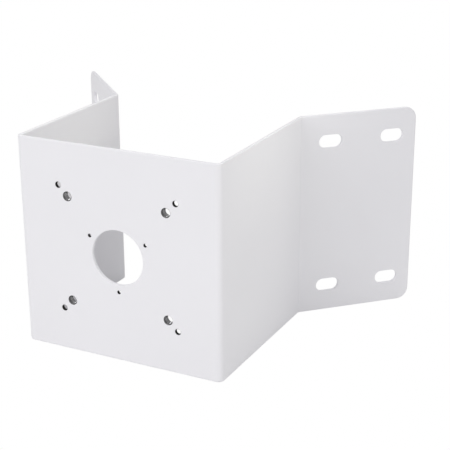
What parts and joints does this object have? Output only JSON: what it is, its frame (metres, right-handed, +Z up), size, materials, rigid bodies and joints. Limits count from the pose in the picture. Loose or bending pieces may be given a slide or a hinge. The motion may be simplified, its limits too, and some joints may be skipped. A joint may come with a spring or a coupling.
{
  "type": "camera corner mount bracket",
  "caption": "Folded steel bracket that carries a camera base on its front plate and bolts to both walls of an outside corner through slots in its wings.",
  "frame": {"origin": "centre of the cable hole on the front face of the front plate", "axes": "-Y out of the front face towards the camera, +Z up along the bends, +X across the front plate; the halves mirror across the YZ plane"},
  "size_m": [0.3158, 0.215, 0.17],
  "materials": {
    "white_paint": "fine powder coat, semi-matt, off white",
    "nut_steel": "turned steel, bare in the thread"
  },
  "bodies": {
    "root": {"folded_bracket": "white_paint", "clinch_nuts": "nut_steel"}
  },
  "joints": []
}
